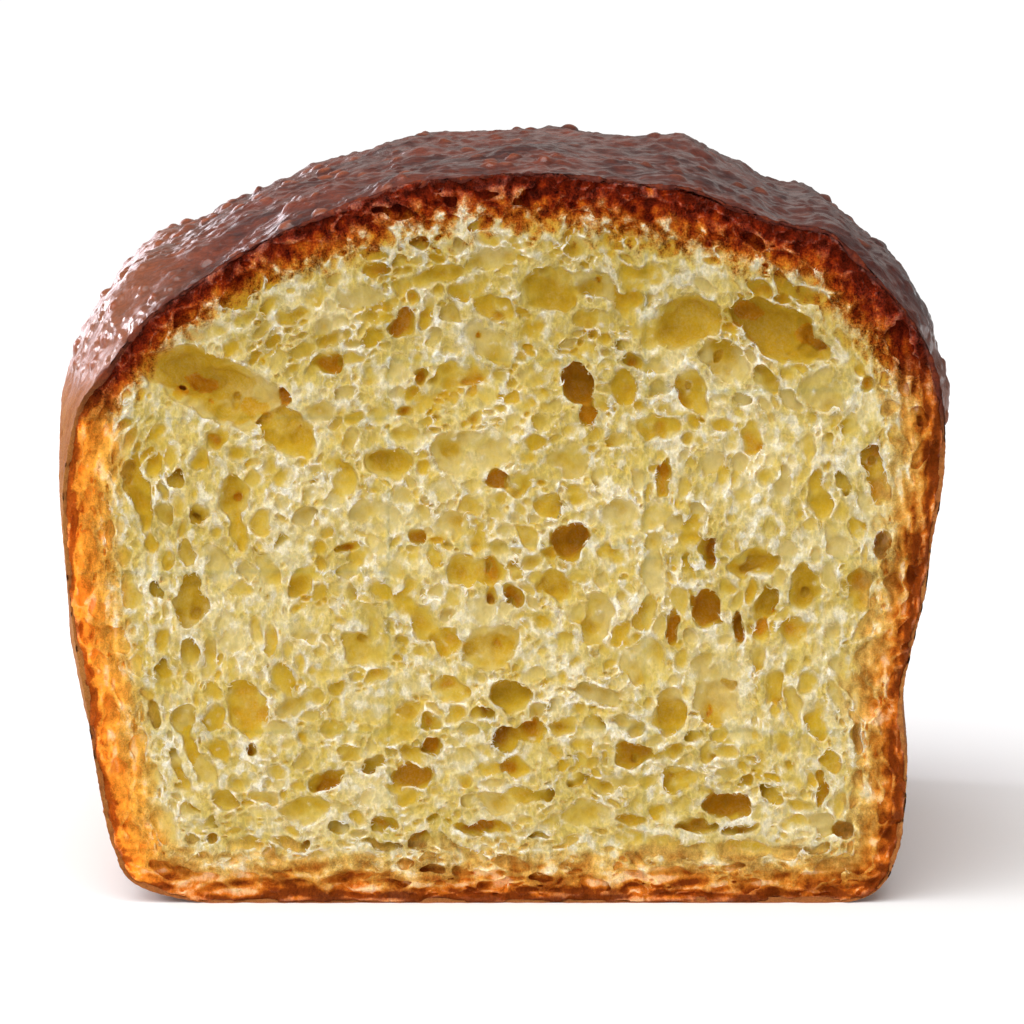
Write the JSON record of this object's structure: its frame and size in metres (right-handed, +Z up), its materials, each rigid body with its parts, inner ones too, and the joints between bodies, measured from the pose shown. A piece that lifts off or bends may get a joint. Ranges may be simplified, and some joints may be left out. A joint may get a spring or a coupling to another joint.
{
  "type": "brioche",
  "caption": "Half of a tin-baked brioche loaf, cut across: open yellow crumb at the front, dark glazed domed crust over the top, a rounded heel at the back and a flat base.",
  "frame": {"origin": "middle of the bounding box's underside, on the surface that the flat base stands on", "axes": "+Z up to the crown, -Y the way the cut crumb face looks, +X to the right of someone who faces the cut"},
  "size_m": [0.1188, 0.1066, 0.0981],
  "materials": {
    "crust": "egg-washed crust: mahogany and satin on the crown, golden brown and matte at the sides and under the base",
    "crumb": "soft matte open crumb, pale yellow webs with golden hollows"
  },
  "bodies": {
    "root": {"brioche": "crust"}
  },
  "joints": []
}
